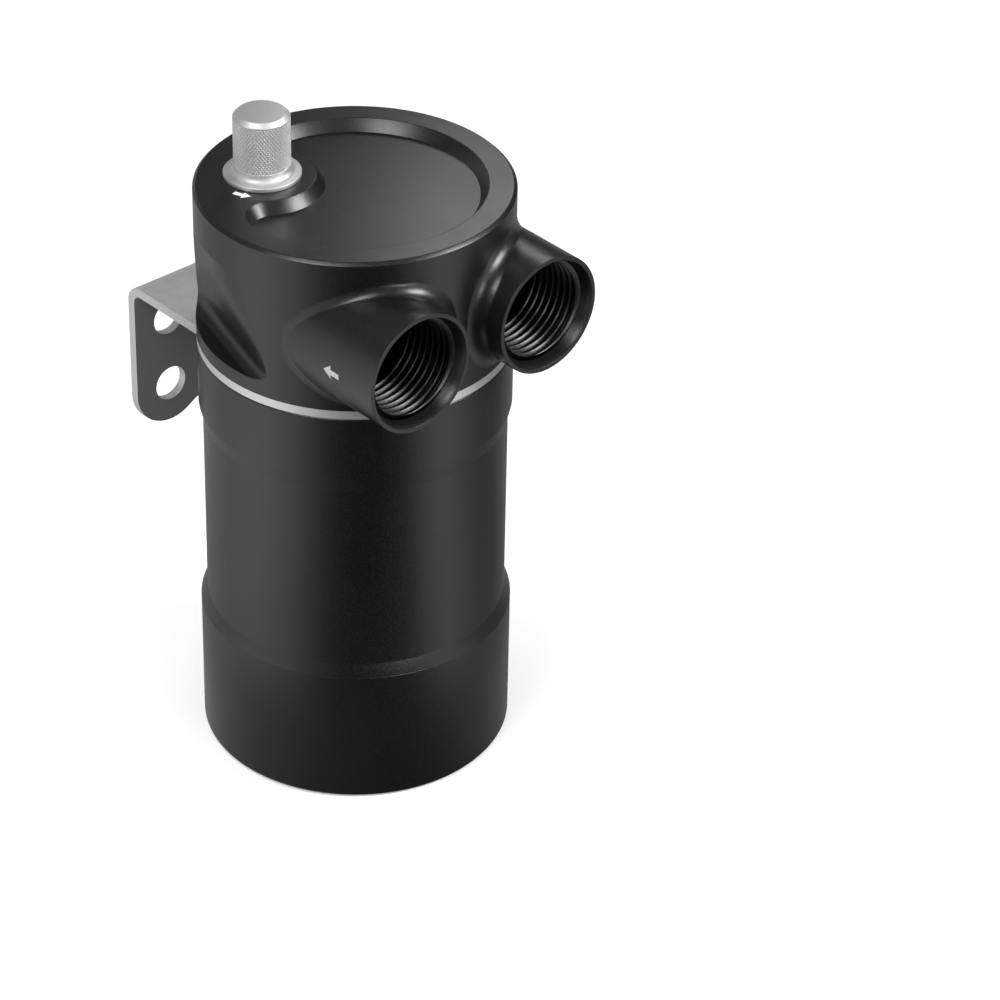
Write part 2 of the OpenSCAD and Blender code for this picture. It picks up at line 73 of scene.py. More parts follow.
# The dipstick's axis, its knob and its rod
DIP = (-15.0022, 17.5654)
KNOB_R = 7.15
KNOB_H = 17.4
FLANGE_R = 9.75
FLANGE_T = 1.2
STEM_R = 4.0
ROD_R = 3.5
ROD_TIP_Z = 9.5
ROD_END_Z = 149.5
# The woven screen
SCREEN_Z = 98.1
SCREEN_R = 33.2
SCREEN_FLAT_X = 5.3

# Where the printed arrows sit: along and round the port, and round the dipstick
ARROW_Y = -33.8
ARROW_UP = -1.3
KNOB_ARROW = 205.0
KNOB_ARROW_R = 11.5
# Each arrow's length and width, and the length and width of its head
PORT_ARROW_SIZE = (5.6, 1.5, 2.6, 3.8)
KNOB_ARROW_SIZE = (4.6, 1.3, 2.1, 2.9)
PRINT_T = 0.03


# Materials

def new_material(name):
    m = bpy.data.materials.new(name)
    m.use_nodes = True
    nodes = m.node_tree.nodes
    nodes.clear()
    out = nodes.new("ShaderNodeOutputMaterial")
    bsdf = nodes.new("ShaderNodeBsdfPrincipled")
    m.node_tree.links.new(bsdf.outputs[0], out.inputs[0])
    return m, m.node_tree, bsdf


def coords(tree, scale=(1, 1, 1)):
    tc = tree.nodes.new("ShaderNodeTexCoord")
    mp = tree.nodes.new("ShaderNodeMapping")
    mp.inputs["Scale"].default_value = scale
    tree.links.new(tc.outputs["Object"], mp.inputs[0])
    return mp.outputs[0]


def noise(tree, vector, scale, detail=2.0, rough=0.5):
    n = tree.nodes.new("ShaderNodeTexNoise")
    n.inputs["Scale"].default_value = scale
    n.inputs["Detail"].default_value = detail
    n.inputs["Roughness"].default_value = rough
    tree.links.new(vector, n.inputs["Vector"])
    return n.outputs[0]


def ramp(tree, value, lo, hi, out_lo, out_hi):
    """Carries the range lo to hi onto out_lo to out_hi, and clips outside it."""
    r = tree.nodes.new("ShaderNodeMapRange")
    r.inputs[1].default_value = lo
    r.inputs[2].default_value = hi
    r.inputs[3].default_value = out_lo
    r.inputs[4].default_value = out_hi
    tree.links.new(value, r.inputs[0])
    return r.outputs[0]


def color_mixer(tree, factor):
    """A mix of two colours: the node's input sockets for them, and its result."""
    m = tree.nodes.new("ShaderNodeMix")
    m.data_type = "RGBA"
    tree.links.new(factor, m.inputs[0])
    return m.inputs[6], m.inputs[7], m.outputs[2]


def mix_color(tree, factor, a, b):
    first, second, result = color_mixer(tree, factor)
    first.default_value = (*a, 1)
    second.default_value = (*b, 1)
    return result


def math_node(tree, op, *values):
    """A math node on sockets or plain numbers."""
    n = tree.nodes.new("ShaderNodeMath")
    n.operation = op
    for i, v in enumerate(values):
        if isinstance(v, (int, float)):
            n.inputs[i].default_value = v
        else:
            tree.links.new(v, n.inputs[i])
    return n.outputs[0]


def bump(tree, bsdf, height, strength, distance):
    b = tree.nodes.new("ShaderNodeBump")
    b.inputs["Strength"].default_value = strength
    b.inputs["Distance"].default_value = distance
    tree.links.new(height, b.inputs["Height"])
    tree.links.new(b.outputs[0], bsdf.inputs["Normal"])


def shade(color, share):
    return tuple(c * share for c in color)


def anodised_black(name, rough=0.33, grain=0.3):
    """Blasted, black anodised aluminium: fine grain, faint cloudiness."""
    m, t, b = new_material(name)
    dark = (0.0025, 0.0025, 0.0026)
    light = (0.0085, 0.0085, 0.0088)
    v = coords(t)
    fine = noise(t, v, scale=2100, detail=3.0, rough=0.7)
    cloud = noise(t, v, scale=60, detail=3.0)
    col = mix_color(t, ramp(t, fine, 0.35, 0.7, 0, 1), dark, light)
    t.links.new(col, b.inputs["Base Color"])
    cloudy = ramp(t, cloud, 0.3, 0.7, -0.02, 0.02)
    grainy = ramp(t, fine, 0.3, 0.7, rough - 0.05, rough + 0.05)
    t.links.new(math_node(t, "ADD", cloudy, grainy), b.inputs["Roughness"])
    b.inputs["Metallic"].default_value = 0.0
    b.inputs["IOR"].default_value = 1.62
    bump(t, b, fine, strength=grain, distance=0.00007)
    return m


def satin_steel(name, direction=(1, 1, 60), rough=0.33, color=(0.8, 0.8, 0.8)):
    """Rolled stainless sheet: long faint scratches in one direction."""
    m, t, b = new_material(name)
    lines = noise(t, coords(t, direction), scale=300, detail=4.0, rough=0.65)
    fine = noise(t, coords(t), scale=2500, detail=2.0)
    col = mix_color(t, ramp(t, lines, 0.3, 0.7, 0, 1), shade(color, 0.88), color)
    t.links.new(col, b.inputs["Base Color"])
    b.inputs["Metallic"].default_value = 0.78
    t.links.new(ramp(t, lines, 0.25, 0.75, rough - 0.06, rough + 0.08), b.inputs["Roughness"])
    bump(t, b, math_node(t, "ADD", lines, fine), strength=0.12, distance=0.00003)
    return m


def blasted_aluminium(name, rough, color=(0.74, 0.74, 0.745)):
    """Bead-blasted, clear anodised aluminium."""
    m, t, b = new_material(name)
    fine = noise(t, coords(t), scale=4200, detail=2.0, rough=0.6)
    cloud = noise(t, coords(t), scale=160, detail=2.0)
    col = mix_color(t, ramp(t, fine, 0.3, 0.7, 0, 1), shade(color, 0.82), color)
    t.links.new(col, b.inputs["Base Color"])
    b.inputs["Metallic"].default_value = 0.9
    t.links.new(ramp(t, cloud, 0.3, 0.7, rough - 0.04, rough + 0.05), b.inputs["Roughness"])
    bump(t, b, fine, strength=0.4, distance=0.00005)
    return m


def rubber(name):
    """Matt black rubber of the seals."""
    m, t, b = new_material(name)
    fine = noise(t, coords(t), scale=1800, detail=3.0, rough=0.6)
    col = mix_color(t, fine, (0.006, 0.006, 0.006), (0.018, 0.018, 0.018))
    t.links.new(col, b.inputs["Base Color"])
    t.links.new(ramp(t, fine, 0.3, 0.7, 0.45, 0.62), b.inputs["Roughness"])
    bump(t, b, fine, strength=0.15, distance=0.00004)
    return m


def wire_steel(name):
    """Bright stainless steel of the screws and the woven wires."""
    m, t, b = new_material(name)
    fine = noise(t, coords(t), scale=1500, detail=2.0)
    col = mix_color(t, fine, (0.55, 0.55, 0.555), (0.8, 0.8, 0.8))
    t.links.new(col, b.inputs["Base Color"])
    b.inputs["Metallic"].default_value = 1.0
    t.links.new(ramp(t, fine, 0.3, 0.7, 0.24, 0.38), b.inputs["Roughness"])
    bump(t, b, fine, strength=0.1, distance=0.00003)
    return m


def print_white(name):
    """White print with a slightly uneven ink."""
    m, t, b = new_material(name)
    fine = noise(t, coords(t), scale=5000, detail=2.0)
    col = mix_color(t, ramp(t, fine, 0.3, 0.6, 0, 1), (0.62, 0.62, 0.62), (0.8, 0.8, 0.8))
    t.links.new(col, b.inputs["Base Color"])
    t.links.new(ramp(t, fine, 0.3, 0.7, 0.55, 0.7), b.inputs["Roughness"])
    return m


MAT = {
    "black": anodised_black("black_anodised"),
    "rod": anodised_black("rod_anodised", rough=0.36, grain=0.2),
    "sheet": satin_steel("bracket_steel", rough=0.45),
    "plate": satin_steel("plate_steel", direction=(1, 40, 1), rough=0.3),
    "screw": wire_steel("screw_steel"),
    "wire": wire_steel("wire_steel"),
    "knob": blasted_aluminium("knob_aluminium", rough=0.52),
    "rubber": rubber("seal_rubber"),
    "print": print_white("arrow_print"),
}

NODE_MAT = {
    "canister": "black", "head": "black", "canister_seal": "rubber", "bracket": "sheet",
    "baffle_plate": "plate", "mesh_screen": "wire", "baffle_screw_front": "screw",
    "baffle_screw_rear": "screw", "dipstick_seal": "rubber", "dipstick_rod": "rod",
    "dipstick_knob": "knob",
}
for node_name, mat_name in NODE_MAT.items():
    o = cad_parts[node_name]
    o.data.materials.clear()
    o.data.materials.append(MAT[mat_name])


# Mesh helpers

def bare_mesh(node):
    """A clean copy of a CAD node's mesh in the shared frame, with its split vertices joined."""
    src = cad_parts[node]
    bm = bmesh.new()
    bm.from_mesh(src.data)
    bm.transform(src.matrix_world)
    bmesh.ops.remove_doubles(bm, verts=bm.verts, dist=2e-6)
    return bm


def finish_mesh(bm, name, mat, angle):
    """Turns a bmesh into an object with smooth faces and sharp edges above an angle."""
    limit = math.radians(angle)
    bm.normal_update()
    for f in bm.faces:
        f.smooth = True
    for e in bm.edges:
        e.smooth = len(e.link_faces) == 2 and e.calc_face_angle(0.0) < limit
    me = bpy.data.meshes.new(name)
    bm.to_mesh(me)
    bm.free()
    o = bpy.data.objects.new(name, me)
    bpy.context.scene.collection.objects.link(o)
    me.materials.append(MAT[mat])
    return o


def place(o, body, node):
    """The piece rides on a body and stands for a CAD node, whose own mesh it hides."""
    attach(o, body)
    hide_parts(node)


def ring_of(bm, centre, z, radii):
    """Vertices round an upright axis, one for each radius, or a single one on the axis."""
    if radii[0] < 1e-6:
        return [bm.verts.new((centre[0] * MM, centre[1] * MM, z * MM))]
    turns = [2 * math.pi * i / len(radii) for i in range(len(radii))]
    return [bm.verts.new(((centre[0] + r * math.cos(a)) * MM, (centre[1] + r * math.sin(a)) * MM, z * MM))
            for a, r in zip(turns, radii)]


def skin(bm, rings, steps):
    """Faces between neighbouring rings, closed to a point where a ring is a single vertex."""
    for lo, hi in zip(rings, rings[1:]):
        for i in range(steps):
            k = (i + 1) % steps
            if len(lo) == 1:
                bm.faces.new((lo[0], hi[k], hi[i]))
            elif len(hi) == 1:
                bm.faces.new((lo[i], lo[k], hi[0]))
            else:
                bm.faces.new((lo[i], lo[k], hi[k], hi[i]))


def lathe_bm(profile, steps, centre=(0, 0)):
    """A closed turned solid from (radius, height) points in mm, first and last on the axis."""
    bm = bmesh.new()
    skin(bm, [ring_of(bm, centre, z, [r] * steps) for r, z in profile], steps)
    return bm


def arc_points(cr, cz, r, a0, a1, n):
    """Points of an arc round (cr, cz), from the angle a0 to a1 in degrees."""
    return [(cr + r * math.cos(math.radians(a0 + (a1 - a0) * i / n)),
             cz + r * math.sin(math.radians(a0 + (a1 - a0) * i / n))) for i in range(n + 1)]


def ridge_points(start, pitch, count, shape):
    """Stacked thread ridges; shape gives each corner's share of the pitch and its radius."""
    return [(r, start + pitch * (i + part)) for i in range(count) for part, r in shape]


# Canister

def canister():
    """The turned canister with softly broken edges."""
    foot_round = 1.5
    foot_flat_r = 38.4
    edge_round = 0.2
    rim_round = 0.45
    # How far the ends of the slopes are eased along the axis and across it
    ease = 0.2
    nick = 0.02
    outer = [(0, 0), (foot_flat_r, 0)]
    outer += arc_points(CAN_BASE_R - foot_round, foot_round, foot_round, -90, 0, 6)
    outer += arc_points(CAN_BASE_R - edge_round, CAN_BASE_TOP_Z, edge_round, 0, 50, 3)
    outer += [(CAN_BASE_R - 0.08, CAN_BASE_TOP_Z + ease + nick)]
    outer += [(CAN_WAIST_R + 0.05, CAN_WAIST_Z - ease + nick)]
    outer += [(CAN_WAIST_R, CAN_WAIST_Z), (CAN_WAIST_R, CAN_WAIST_TOP_Z)]
    outer += [(CAN_WAIST_R + nick, CAN_WAIST_TOP_Z + ease)]
    outer += [(CAN_BAND_R - nick, CAN_BAND_Z - ease), (CAN_BAND_R, CAN_BAND_Z)]
    outer += [(CAN_BAND_R, CAN_RIM_Z - rim_round - 0.1)]
    outer += arc_points(CAN_BAND_R - rim_round, CAN_RIM_Z - rim_round - 0.05, rim_round, 0, 90, 4)
    lip_z = CAN_RIM_Z - 2.6
    first_ridge_z = 111.5
    thread_end_z = 99.4
    inner = [(CAN_LIP_R, CAN_RIM_Z), (CAN_LIP_R, lip_z), (CAN_CREST_R, lip_z - 0.2)]
    ridge = ((0.15, CAN_CREST_R), (0.45, CAN_ROOT_R), (0.7, CAN_ROOT_R), (1.0, CAN_CREST_R))
    inner += ridge_points(first_ridge_z, -CAN_PITCH, CAN_RIDGES, ridge)
    floor_fillet = 4.0
    fillet_z = CAN_FLOOR_T + floor_fillet
    inner += [(CAN_CREST_R, thread_end_z), (CAN_BORE_R, thread_end_z - 0.1), (CAN_BORE_R, fillet_z)]
    inner += arc_points(CAN_BORE_R - floor_fillet, fillet_z, floor_fillet, 0, -90, 6)
    inner += [(0, CAN_FLOOR_T)]
    o = finish_mesh(lathe_bm(outer + inner, 256), "canister_turned", "black", 40)
    place(o, "canister", "canister")


# Head

def in_port_thread(c):
    """True for the stacked thread rings of a port in the construction's mesh."""
    x, y, z = (v / MM for v in c)
    r = math.hypot(abs(x) - PORT_X, z - PORT_Z)
    return PORT_CREST_R - 0.15 < r < PORT_ROOT_R + 0.1 and THREAD_Y0 - 0.02 < y < THREAD_Y1 + 0.06


def add_port_thread(bm, side):
    """A true helical thread in a port, in place of the rings."""
    root, crest = PORT_ROOT_R, PORT_CREST_R
    # One turn's section: the share of the pitch and the radius there
    section = [(0.0, root), (0.04, root - 0.06), (0.26, crest + 0.07), (0.3, crest), (0.42, crest - 0.02),
               (0.55, crest), (0.59, crest + 0.07), (0.81, root - 0.06), (0.85, root), (0.92, root + 0.02)]
    phase = [turn + part for turn in range(-1, PORT_TURNS + 1) for part, r in section]
    value = [r for turn in range(-1, PORT_TURNS + 1) for part, r in section]
    steps = 120
    cols = []
    for i in range(steps + 1):
        a = i / steps
        col = []
        for ph, r in zip(phase, value):
            y = THREAD_Y0 + (ph + a) * PORT_PITCH
            if y < THREAD_Y0 or y > THREAD_Y1:
                y = min(max(y, THREAD_Y0), THREAD_Y1)
                r = float(np.interp((y - THREAD_Y0) / PORT_PITCH - a, phase, value))
            col.append((y, r))
        cols.append(col)
    grid = []
    for i, col in enumerate(cols):
        a = 2 * math.pi * i / steps
        grid.append([bm.verts.new(((side * PORT_X + r * math.cos(a)) * MM, y * MM,
                                   (PORT_Z + r * math.sin(a)) * MM)) for y, r in col])
    for g, h in zip(grid, grid[1:]):
        for j in range(len(g) - 1):
            if (g[j].co - g[j + 1].co).length < 1e-7 and (h[j].co - h[j + 1].co).length < 1e-7:
                continue
            bm.faces.new((g[j], h[j], h[j + 1], g[j + 1]))


def is_shown_edge(e):
    """True for the sharp edges at the port mouths and on the lid, which get a small rounding."""
    least_angle = math.radians(30)
    near = 0.02
    under_knob_r = 8
    if len(e.link_faces) != 2 or e.calc_face_angle(0.0) < least_angle:
        return False
    ends = [tuple(v / MM for v in p.co) for p in e.verts]
    if all(abs(y - PORT_FACE_Y) < near for x, y, z in ends):
        return True
    return all(abs(z - TOP_Z) < near and math.hypot(x - DIP[0], y - DIP[1]) > under_knob_r
               for x, y, z in ends)


def true_normals(o):
    """Exact normals where the mesh lies on the head's round wall, on a port's or on a flat face."""
    near = 0.03
    least_dot = 0.85
    flat_dot = 0.9998
    me = o.data
    normals = [n.vector.copy() for n in me.corner_normals]
    for poly in me.polygons:
        flat = max(abs(v) for v in poly.normal) > flat_dot
        for li in poly.loop_indices:
            x, y, z = (v / MM for v in me.vertices[me.loops[li].vertex_index].co)
            from_head = Vector((x, y, 0))
            from_port = Vector((x - math.copysign(PORT_X, x), 0, z - PORT_Z))
            if flat:
                normals[li] = poly.normal.copy()
            for way, size in ((from_head, HEAD_R), (from_port, PORT_R)):
                if abs(way.length - size) < near and poly.normal.dot(way.normalized()) > least_dot:
                    normals[li] = way.normalized()
    me.normals_split_custom_set(normals)


def head():
    """The machined head: the construction's mesh with helical port threads and broken edges."""
    edge_round = 0.14
    bm = bare_mesh("head")
    rings = [f for f in bm.faces if in_port_thread(f.calc_center_median())]
    bmesh.ops.delete(bm, geom=rings, context="FACES")
    for side in (-1, 1):
        add_port_thread(bm, side)
    bmesh.ops.remove_doubles(bm, verts=bm.verts, dist=2e-6)
    loose = [v for v in bm.verts if not v.link_faces]
    bmesh.ops.delete(bm, geom=loose, context="VERTS")
    bmesh.ops.dissolve_limit(bm, angle_limit=math.radians(0.2), verts=bm.verts, edges=bm.edges)
    edges = [e for e in bm.edges if is_shown_edge(e)]
    bmesh.ops.bevel(bm, geom=edges, offset=edge_round * MM, offset_type="OFFSET", segments=2,
                    profile=0.5, affect="EDGES", clamp_overlap=False, loop_slide=True)
    o = finish_mesh(bm, "head_machined", "black", 30)
    true_normals(o)
    place(o, "head", "head")


# Dipstick knob

KNURLS = 52
KNURL_DEPTH = 0.2
KNURL_Z0 = 3.3
KNURL_Z1 = 16.1
# The slope of the knurl's cuts: their height over their length round the knob
KNURL_SLANT = 1.35
# Over this height the knurl fades out at its ends
KNURL_FADE = 0.25


def knurled_r(turn, z):
    """The radius of the diamond knurl at a share of a turn and a height."""
    lead = 2 * math.pi * KNOB_R / KNURLS
    u = KNURLS * turn
    v = (z - KNURL_Z0) / (lead * KNURL_SLANT)
    d1 = 1 - abs(2 * ((u + v) % 1.0) - 1)
    d2 = 1 - abs(2 * ((u - v) % 1.0) - 1)
    fade = min(1.0, (z - KNURL_Z0) / KNURL_FADE, (KNURL_Z1 - z) / KNURL_FADE)
    return KNOB_R - KNURL_DEPTH * fade * (1 - min(d1, d2, 0.5) * 2)


def knob_profiles():
    """The knob's section below and above its knurl, in heights above the lid."""
    stem_end = -10.45
    thread_z = -10.3
    root_r, crest_r = 3.4, 3.98
    pitch, turns = 1.25, 5
    relief_z = thread_z + pitch * turns
    edge = 0.25
    neck = 1.8
    ridge = ((0, root_r), (0.288, crest_r), (0.528, crest_r), (0.84, root_r))
    below = [(0, stem_end), (root_r - 0.2, stem_end)]
    below += ridge_points(thread_z, pitch, turns, ridge)
    below += [(root_r, relief_z + 0.1), (STEM_R, relief_z + 0.6), (STEM_R, 0.0), (FLANGE_R - 0.3, 0.0)]
    below += arc_points(FLANGE_R - edge, edge, edge, -90, 0, 3)
    below += arc_points(FLANGE_R - edge, FLANGE_T - edge, edge, 0, 90, 3)
    below += arc_points(KNOB_R + neck, FLANGE_T + neck, neck, -90, -180, 8)
    below += [(KNOB_R, KNURL_Z0 - 0.05)]
    top_round = 0.3
    above = [(KNOB_R, KNURL_Z1 + 0.05), (KNOB_R - 0.03, KNOB_H - 1.12), (KNOB_R - 1.0, KNOB_H - 0.15)]
    above += arc_points(KNOB_R - 1.25, KNOB_H - top_round, top_round, 45, 90, 3)
    above += [(0, KNOB_H)]
    return below, above


def knob():
    """The knob with its flange, neck and a cut diamond knurl."""
    steps = KNURLS * 8
    rows = int((KNURL_Z1 - KNURL_Z0) / (0.105))
    below, above = knob_profiles()
    bm = bmesh.new()
    rings = [ring_of(bm, DIP, TOP_Z + z, [r] * steps) for r, z in below]
    for row in range(rows + 1):
        z = KNURL_Z0 + (KNURL_Z1 - KNURL_Z0) * row / rows
        rings.append(ring_of(bm, DIP, TOP_Z + z, [knurled_r(i / steps, z) for i in range(steps)]))
    rings += [ring_of(bm, DIP, TOP_Z + z, [r] * steps) for r, z in above]
    skin(bm, rings, steps)
    o = finish_mesh(bm, "knob_knurled", "knob", 24)
    place(o, "dipstick", "dipstick_knob")


# Printed arrows

def printed_arrow(name, body, size, on_surface, out_dir):
    """A thin printed block arrow that points along +u, carried onto a surface by on_surface."""
    length, width, head_len, head_width = size
    cuts = 6
    across = 4
    tip = length / 2
    neck = tip - head_len
    shaft = [(-tip + (neck + tip) * i / cuts, width / 2) for i in range(cuts + 1)]
    point = [(neck + head_len * i / cuts, head_width / 2 * (1 - i / cuts)) for i in range(cuts + 1)]
    bm = bmesh.new()
    for strip in (shaft, point):
        rows = [[bm.verts.new(Vector(on_surface(u, half * k / across, PRINT_T)) * MM)
                 for k in range(-across, across + 1)] for u, half in strip]
        for lo, hi in zip(rows, rows[1:]):
            for k in range(2 * across):
                bm.faces.new((lo[k], hi[k], hi[k + 1], lo[k + 1]))
    bmesh.ops.remove_doubles(bm, verts=bm.verts, dist=1e-7)
    bm.normal_update()
    for f in bm.faces:
        if f.normal.dot(Vector(out_dir)) < 0:
            f.normal_flip()
    o = finish_mesh(bm, name, "print", 60)
    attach(o, body)


def port_arrow(name, side):
    """The arrow on a port's outer side: into the inlet on -X, out of the outlet on +X."""
    def on_port(u, v, lift):
        a = math.radians(ARROW_UP) + v / PORT_R
        r = PORT_R + lift
        return (side * (PORT_X + r * math.cos(a)), ARROW_Y - side * u, PORT_Z + r * math.sin(a))

    printed_arrow(name, "head", PORT_ARROW_SIZE, on_port, (side, 0, 0))


def knob_arrow():
    """The arrow on the lid that shows which way the dipstick unscrews."""
    def on_lid(u, v, lift):
        r = KNOB_ARROW_R - v
        a = math.radians(KNOB_ARROW) + u / KNOB_ARROW_R
        return (DIP[0] + r * math.cos(a), DIP[1] + r * math.sin(a), TOP_Z + lift)

    printed_arrow("arrow_knob", "head", KNOB_ARROW_SIZE, on_lid, (0, 0, 1))


# Bracket, baffle, screws, screen and rod

def edged(node, body, name, mat, width):
    """A piece with the construction's mesh and small bevels on its edges, width in mm."""
    angle = 40
    bm = bare_mesh(node)
    bmesh.ops.dissolve_limit(bm, angle_limit=math.radians(0.5), verts=bm.verts, edges=bm.edges)
    o = finish_mesh(bm, name, mat, angle)
    m = o.modifiers.new("edges", "BEVEL")
    m.width = width * MM
    m.segments = 2
    m.limit_method = "ANGLE"
    m.angle_limit = math.radians(angle)
    m.harden_normals = True
    place(o, body, node)


def tube(bm, points, radius, sides):
    """A round wire along points that lie about level, in mm, closed at both ends."""
    rings = []
    n = len(points)
    for i, p in enumerate(points):
        t = Vector(points[min(i + 1, n - 1)]) - Vector(points[max(i - 1, 0)])
        t.normalize()
        side = t.cross(Vector((0, 0, 1))).normalized()
        up = side.cross(t)
        rings.append([bm.verts.new((Vector(p) + radius * (math.cos(a) * side + math.sin(a) * up)) * MM)
                      for a in (2 * math.pi * k / sides for k in range(sides))])
    for lo, hi in zip(rings, rings[1:]):
        for k in range(sides):
            bm.faces.new((lo[k], lo[(k + 1) % sides], hi[(k + 1) % sides], hi[k]))
    bm.faces.new(list(reversed(rings[0])))
    bm.faces.new(rings[-1])


def woven_screen():
    """The half-round screen as crossed wires that pass over and under each other."""
    wire_r = 0.16
    rim_wire_r = 0.2
    wave = 0.17
    pitch = 0.8
    inner = SCREEN_R - wire_r
    rim_angle = 80.7
    flat_half = 32.7
    bm = bmesh.new()

    def waved(start, end, origin, number, lift):
        """Places along a wire with their heights, over and under the wires that it crosses."""
        n = max(2, int((end - start) / (pitch / 2)))
        along = [start + (end - start) * i / n for i in range(n + 1)]
        return [(s, SCREEN_Z + lift * math.cos(math.pi * ((s - origin) / pitch + number % 2)))
                for s in along]

    count = int(inner / pitch)
    for j in range(-count, count + 1):
        y = j * pitch
        end = math.sqrt(max(inner * inner - y * y, 0))
        if end - SCREEN_FLAT_X >= 1:
            points = [(x, y, z) for x, z in waved(SCREEN_FLAT_X, end, SCREEN_FLAT_X, j, wave)]
            tube(bm, points, wire_r, 5)
    for i in range(1, int((inner - SCREEN_FLAT_X) / pitch) + 1):
        x = SCREEN_FLAT_X + i * pitch
        end = math.sqrt(max(inner * inner - x * x, 0))
        if end >= 1:
            tube(bm, [(x, y, z) for y, z in waved(-end, end, 0, i, -wave)], wire_r, 5)
    turns = [math.radians(rim_angle * (i / 45 - 1)) for i in range(91)]
    tube(bm, [(inner * math.cos(a), inner * math.sin(a), SCREEN_Z) for a in turns], rim_wire_r, 6)
    flat = [(SCREEN_FLAT_X + 0.05, flat_half * (i / 20 - 1), SCREEN_Z) for i in range(41)]
    tube(bm, flat, rim_wire_r, 6)
    o = finish_mesh(bm, "screen_woven", "wire", 40)
    place(o, "head", "mesh_screen")


def rod():
    """The dipstick's plain rod with its rounded tip and the pin that joins it to the knob."""
    tip_round = 1.0
    chamfer = 0.3
    pin_r = 2.3
    pin_len = 5.0
    pin_chamfer = 0.2
    pin_end = ROD_END_Z + pin_len
    profile = [(0, ROD_TIP_Z), (ROD_R - tip_round - 0.1, ROD_TIP_Z)]
    profile += arc_points(ROD_R - tip_round, ROD_TIP_Z + tip_round, tip_round, -90, 0, 5)
    profile += [(ROD_R, ROD_END_Z - chamfer), (ROD_R - chamfer, ROD_END_Z), (pin_r, ROD_END_Z)]
    profile += [(pin_r, pin_end - pin_chamfer), (pin_r - pin_chamfer, pin_end), (0, pin_end)]
    o = finish_mesh(lathe_bm(profile, 96, DIP), "rod_turned", "rod", 35)
    place(o, "dipstick", "dipstick_rod")


canister()
head()
knob()
port_arrow("arrow_inlet", -1)
port_arrow("arrow_outlet", 1)
knob_arrow()
edged("bracket", "bracket", "bracket_bent", "sheet", 0.22)
edged("baffle_plate", "head", "baffle_cut", "plate", 0.12)
edged("baffle_screw_front", "head", "screw_front_turned", "screw", 0.12)
edged("baffle_screw_rear", "head", "screw_rear_turned", "screw", 0.12)
woven_screen()
rod()


# Stage, lights and camera

# The background that glossy and transmission rays see is white with soft dark cards in it.
# Each list gives its brightness against the angle from the camera's side, in degrees: bright
# to the left and right, dark in front. The first is for the floor away from the object.
FAR_CARDS = [(-180, 0.35), (-155, 0.5), (-130, 0.45), (-101, 0.55), (-85, 0.82), (-70, 1.08),
             (-57, 1.08), (-44, 0.85), (-32, 0.5), (-20, 0.18), (-8, 0.04), (3, 0.02),
             (14, 0.02), (26, 0.04), (38, 0.22), (50, 0.78), (64, 0.9), (78, 0.45),
             (93, 0.2), (111, 0.14), (136, 0.3), (160, 0.4), (180, 0.3)]
# The floor by the object, and how far out it turns into the other, in metres
NEAR_CARDS = [(-180, 0.3), (-140, 0.3), (-108, 0.46), (-85, 0.46), (-65, 0.4), (-48, 0.33),
              (-32, 0.27), (-16, 0.17), (0, 0.1), (15, 0.06), (30, 0.07), (46, 0.14),
              (64, 0.22), (83, 0.28), (105, 0.3), (180, 0.3)]
NEAR_R = 0.07
FAR_R = 0.14
# The world by the horizon
LOW_CARDS = [(-180, 0.3), (-150, 0.5), (-125, 0.6), (-101, 0.6), (-85, 0.7), (-70, 0.9),
             (-57, 0.9), (-44, 0.7), (-32, 0.4), (-20, 0.12), (-8, 0.03), (3, 0.02),
             (14, 0.02), (26, 0.04), (38, 0.22), (50, 0.78), (64, 0.9), (78, 0.45),
             (93, 0.2), (111, 0.1), (136, 0.06), (160, 0.05), (180, 0.05)]
# The world higher up, against the sine of the height, and the sines at which it takes over
HIGH_CARDS = [(0.0, 0.3), (0.3, 0.05), (0.5, 0.12), (0.75, 0.22), (1.0, 0.04)]
LOW_SINE = 0.1
HIGH_SINE = 0.45
# The camera's side as seen from the object, in degrees from +X
CAMERA_SIDE = 229.6
# What diffuse rays see of the world and of the floor, wherever they look
WORLD_LEVEL = 0.2
FLOOR_LEVEL = 0.4
# The floor's own glow to the camera makes up for the lamps' light where that falls off:
# its strength near the object and far from it, and the radii between which it grows
NEAR_GLOW = 0.29
FAR_GLOW = 0.84
GLOW_R0 = 0.35
GLOW_R1 = 0.85
FLOOR_SIZE = 6.0
FLOOR_Z = -0.00002


def gray_ramp(tree, value, stops):
    """A gray that follows (place, brightness) stops along a value from 0 to 1."""
    r = tree.nodes.new("ShaderNodeValToRGB")
    e = r.color_ramp.elements
    for i, (pos, v) in enumerate(stops):
        el = e[i] if i < 2 else e.new(pos)
        el.position = pos
        el.color = (v, v, v, 1)
    tree.links.new(value, r.inputs[0])
    return r.outputs[0]


def card_ramp(tree, turn, cards):
    return gray_ramp(tree, turn, [(deg / 360 + 0.5, v) for deg, v in cards])


def turn_of(tree, vector):
    """0 to 1 round the object, 0.5 at the camera's side, and the vector's parts."""
    sep = tree.nodes.new("ShaderNodeSeparateXYZ")
    tree.links.new(vector, sep.inputs[0])
    az = math_node(tree, "ARCTAN2", sep.outputs[1], sep.outputs[0])
    t = math_node(tree, "DIVIDE", az, 2 * math.pi)
    t = math_node(tree, "ADD", t, 2.5 - CAMERA_SIDE / 360)
    return math_node(tree, "FRACT", t), sep.outputs


def blend_values(tree, factor, a, b):
    first, second, result = color_mixer(tree, factor)
    tree.links.new(a, first)
    tree.links.new(b, second)
    return result


